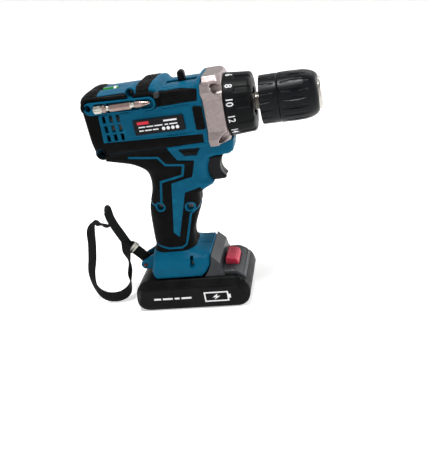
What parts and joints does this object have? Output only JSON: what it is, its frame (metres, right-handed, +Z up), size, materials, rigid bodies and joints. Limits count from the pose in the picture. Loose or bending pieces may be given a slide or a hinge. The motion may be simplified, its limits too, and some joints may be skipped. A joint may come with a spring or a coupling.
{
  "type": "cordless drill driver",
  "caption": "Cordless drill driver with pistol grip, clutch ring, keyless jaw chuck, planetary gearbox, bit tray, wrist strap and slide-on battery.",
  "frame": {"origin": "centre of the battery's flat underside, which the drill stands on", "axes": "+Z up, +X forward along the spindle towards the chuck's nose, +Y towards the operator's left"},
  "size_m": [0.2539, 0.0704, 0.2216],
  "materials": {
    "housing_teal": "satin moulded nylon, fine spark texture",
    "overmold_rubber": "matt soft-touch rubber",
    "control_black": "satin black plastic",
    "collar_silver": "warm silver satin paint",
    "screw_steel": "zinc plated",
    "machined_steel": "machined and lightly oiled",
    "gearbox_grey": "glass-filled nylon",
    "lens_clear": "clear moulded lens",
    "vial_green": "clear tube with green spirit",
    "battery_black": "fine textured black plastic",
    "battery_grey": "satin dark grey plastic",
    "button_red": "satin red, knurled",
    "cell_wrap": "heat-shrunk film",
    "strap_webbing": "woven nylon webbing"
  },
  "bodies": {
    "housing": {"right_housing": "housing_teal", "left_housing": "housing_teal", "right_overmold": "overmold_rubber", "left_overmold": "overmold_rubber", "right_grip": "overmold_rubber", "left_grip": "overmold_rubber", "gearbox_collar": "collar_silver", "collar_screw_1": "screw_steel", "collar_screw_2": "screw_steel", "collar_screw_3": "screw_steel", "collar_screw_4": "screw_steel", "housing_screw_1": "screw_steel", "housing_screw_2": "screw_steel", "housing_screw_3": "screw_steel", "housing_screw_4": "screw_steel", "housing_screw_5": "screw_steel", "housing_screw_6": "screw_steel", "rating_label": "control_black", "level_vial": "vial_green", "bit_tray": "housing_teal", "bit_magnet": "screw_steel", "switch_module": "control_black", "motor_can": "machined_steel", "gearbox_case": "gearbox_grey", "ring_gear": "machined_steel", "output_bearing": "machined_steel", "clutch_spring": "machined_steel", "battery_terminal_block": "control_black", "led_lens": "lens_clear", "strap_pin": "screw_steel", "trigger_spring": "machined_steel", "wrist_strap": "strap_webbing", "strap_crimp": "screw_steel"},
    "screwdriver_bit": {"screwdriver_bit": "machined_steel"},
    "rotor": {"rotor": "machined_steel", "motor_pinion": "machined_steel"},
    "stage1_carrier": {"stage1_carrier": "machined_steel"},
    "stage1_planet_1": {"stage1_planet_1": "machined_steel"},
    "stage1_planet_2": {"stage1_planet_2": "machined_steel"},
    "stage1_planet_3": {"stage1_planet_3": "machined_steel"},
    "spindle": {"spindle": "machined_steel", "chuck_body": "machined_steel", "chuck_rear_sleeve": "control_black", "chuck_screw": "machined_steel"},
    "stage2_planet_1": {"stage2_planet_1": "machined_steel"},
    "stage2_planet_2": {"stage2_planet_2": "machined_steel"},
    "stage2_planet_3": {"stage2_planet_3": "machined_steel"},
    "chuck_sleeve": {"chuck_front_sleeve": "control_black"},
    "chuck_jaw_1": {"chuck_jaw_1": "machined_steel"},
    "chuck_jaw_2": {"chuck_jaw_2": "machined_steel"},
    "chuck_jaw_3": {"chuck_jaw_3": "machined_steel"},
    "torque_ring": {"torque_ring": "control_black"},
    "trigger": {"trigger": "control_black"},
    "direction_button": {"direction_button": "control_black"},
    "speed_selector": {"speed_selector": "control_black"},
    "battery": {"battery_lower_case": "battery_black", "battery_upper_case": "battery_black", "battery_front_cover": "battery_grey", "cell_block": "cell_wrap"},
    "release_button": {"release_button": "button_red"}
  },
  "joints": [
    {"name": "rotor_spin", "type": "hinge", "parent": "housing", "child": "rotor", "pos_m": [0, 0, 0.187], "axis": [1, 0, 0], "continuous": true},
    {"name": "stage1_carrier_spin", "type": "hinge", "parent": "housing", "child": "stage1_carrier", "pos_m": [0, 0, 0.187], "axis": [1, 0, 0], "continuous": true},
    {"name": "stage1_planet_1_spin", "type": "hinge", "parent": "stage1_carrier", "child": "stage1_planet_1", "pos_m": [0, 0.01013, 0.187], "axis": [1, 0, 0], "continuous": true},
    {"name": "stage1_planet_2_spin", "type": "hinge", "parent": "stage1_carrier", "child": "stage1_planet_2", "pos_m": [0, -0.00506, 0.19577], "axis": [1, 0, 0], "continuous": true},
    {"name": "stage1_planet_3_spin", "type": "hinge", "parent": "stage1_carrier", "child": "stage1_planet_3", "pos_m": [0, -0.00506, 0.17823], "axis": [1, 0, 0], "continuous": true},
    {"name": "spindle_spin", "type": "hinge", "parent": "housing", "child": "spindle", "pos_m": [0, 0, 0.187], "axis": [1, 0, 0], "continuous": true},
    {"name": "stage2_planet_1_spin", "type": "hinge", "parent": "spindle", "child": "stage2_planet_1", "pos_m": [0, 0.01013, 0.187], "axis": [1, 0, 0], "continuous": true},
    {"name": "stage2_planet_2_spin", "type": "hinge", "parent": "spindle", "child": "stage2_planet_2", "pos_m": [0, -0.00506, 0.19577], "axis": [1, 0, 0], "continuous": true},
    {"name": "stage2_planet_3_spin", "type": "hinge", "parent": "spindle", "child": "stage2_planet_3", "pos_m": [0, -0.00506, 0.17823], "axis": [1, 0, 0], "continuous": true},
    {"name": "chuck_sleeve_turn", "type": "hinge", "parent": "spindle", "child": "chuck_sleeve", "pos_m": [0.12, 0, 0.187], "axis": [1, 0, 0], "range_deg": [-720, 1440]},
    {"name": "chuck_jaw_1_slide", "type": "slide", "parent": "spindle", "child": "chuck_jaw_1", "axis": [0.9659, 0, -0.2588], "range_m": [-0.0049, 0.0097]},
    {"name": "chuck_jaw_2_slide", "type": "slide", "parent": "spindle", "child": "chuck_jaw_2", "axis": [0.9659, 0.2241, 0.1294], "range_m": [-0.0049, 0.0097]},
    {"name": "chuck_jaw_3_slide", "type": "slide", "parent": "spindle", "child": "chuck_jaw_3", "axis": [0.9659, -0.2241, 0.1294], "range_m": [-0.0049, 0.0097]},
    {"name": "torque_ring_turn", "type": "hinge", "parent": "housing", "child": "torque_ring", "pos_m": [0.07, 0, 0.187], "axis": [1, 0, 0], "range_deg": [-120, 180]},
    {"name": "trigger_pull", "type": "slide", "parent": "housing", "child": "trigger", "axis": [-1, 0, 0], "range_m": [0, 0.008], "stiffness_N_per_m": 300, "deforming": ["trigger_spring"]},
    {"name": "direction_push", "type": "slide", "parent": "housing", "child": "direction_button", "axis": [0, 1, 0], "range_m": [-0.0035, 0.0035]},
    {"name": "speed_select", "type": "slide", "parent": "housing", "child": "speed_selector", "axis": [1, 0, 0], "range_m": [-0.005, 0.005]},
    {"name": "bit_removal", "type": "slide", "parent": "housing", "child": "screwdriver_bit", "axis": [0, -1, 0], "range_m": [0, 0.03]},
    {"name": "battery_slide", "type": "slide", "parent": "housing", "child": "battery", "axis": [1, 0, 0], "range_m": [0, 0.08]},
    {"name": "release_press", "type": "slide", "parent": "battery", "child": "release_button", "axis": [0, 0, -1], "range_m": [0, 0.0028], "stiffness_N_per_m": 600}
  ],
  "couplings": [
    {"joint": "stage1_carrier_spin", "follows": "rotor_spin", "ratio": 0.22222},
    {"joint": "stage1_planet_1_spin", "follows": "rotor_spin", "ratio": -0.62222},
    {"joint": "stage1_planet_2_spin", "follows": "rotor_spin", "ratio": -0.62222},
    {"joint": "stage1_planet_3_spin", "follows": "rotor_spin", "ratio": -0.62222},
    {"joint": "spindle_spin", "follows": "rotor_spin", "ratio": 0.049383},
    {"joint": "stage2_planet_1_spin", "follows": "rotor_spin", "ratio": -0.13827},
    {"joint": "stage2_planet_2_spin", "follows": "rotor_spin", "ratio": -0.13827},
    {"joint": "stage2_planet_3_spin", "follows": "rotor_spin", "ratio": -0.13827},
    {"joint": "chuck_jaw_1_slide", "follows": "chuck_sleeve_turn", "m_per_rad": 0.000382},
    {"joint": "chuck_jaw_2_slide", "follows": "chuck_sleeve_turn", "m_per_rad": 0.000382},
    {"joint": "chuck_jaw_3_slide", "follows": "chuck_sleeve_turn", "m_per_rad": 0.000382}
  ]
}
